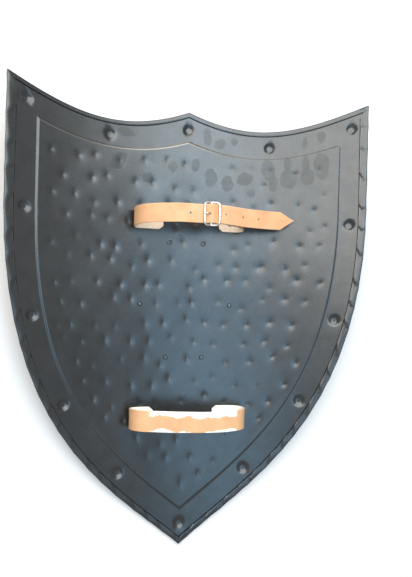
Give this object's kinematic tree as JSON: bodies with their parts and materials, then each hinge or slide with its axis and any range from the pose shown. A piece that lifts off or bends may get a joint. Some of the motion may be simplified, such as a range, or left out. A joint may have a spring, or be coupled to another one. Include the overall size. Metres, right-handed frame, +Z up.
{
  "type": "heater shield",
  "caption": "Heater shield of curved black steel with a folded rim, raised border, bosses and hammered field, an arm strap with a buckle and a leather grip on its inner side, lying on its front.",
  "frame": {"origin": "bottom centre of the whole object's box, on the floor under the middle of the shield, which lies on its domed front", "axes": "+Z up, out of the hollow inner side that carries the straps; +Y from the pointed tip towards the top edge; +X across the shield, to the right as seen from above with the tip towards the viewer"},
  "size_m": [0.544, 0.69, 0.0784],
  "materials": {
    "black_steel": "thin satin black coating on hammered sheet steel, with oily smudges",
    "tan_leather": "undyed vegetable-tanned leather, smooth grain side out, pale flesh side in",
    "nickel_wire": "bright nickel-plated wire",
    "dark_rivets": "blackened steel, rubbed at the edges"
  },
  "bodies": {
    "root": {"shield_plate": "black_steel", "arm_strap_long": "tan_leather", "arm_strap_short": "tan_leather", "grip_strap": "tan_leather", "buckle_frame": "nickel_wire", "buckle_tongue": "nickel_wire", "fold_rivet": "nickel_wire", "arm_rivet_left": "dark_rivets", "arm_rivet_right": "dark_rivets", "grip_rivet_left": "dark_rivets", "grip_rivet_right": "dark_rivets", "field_rivet_1": "dark_rivets", "field_rivet_2": "dark_rivets", "field_rivet_3": "dark_rivets", "field_rivet_4": "dark_rivets", "field_rivet_5": "dark_rivets", "field_rivet_6": "dark_rivets"}
  },
  "joints": []
}
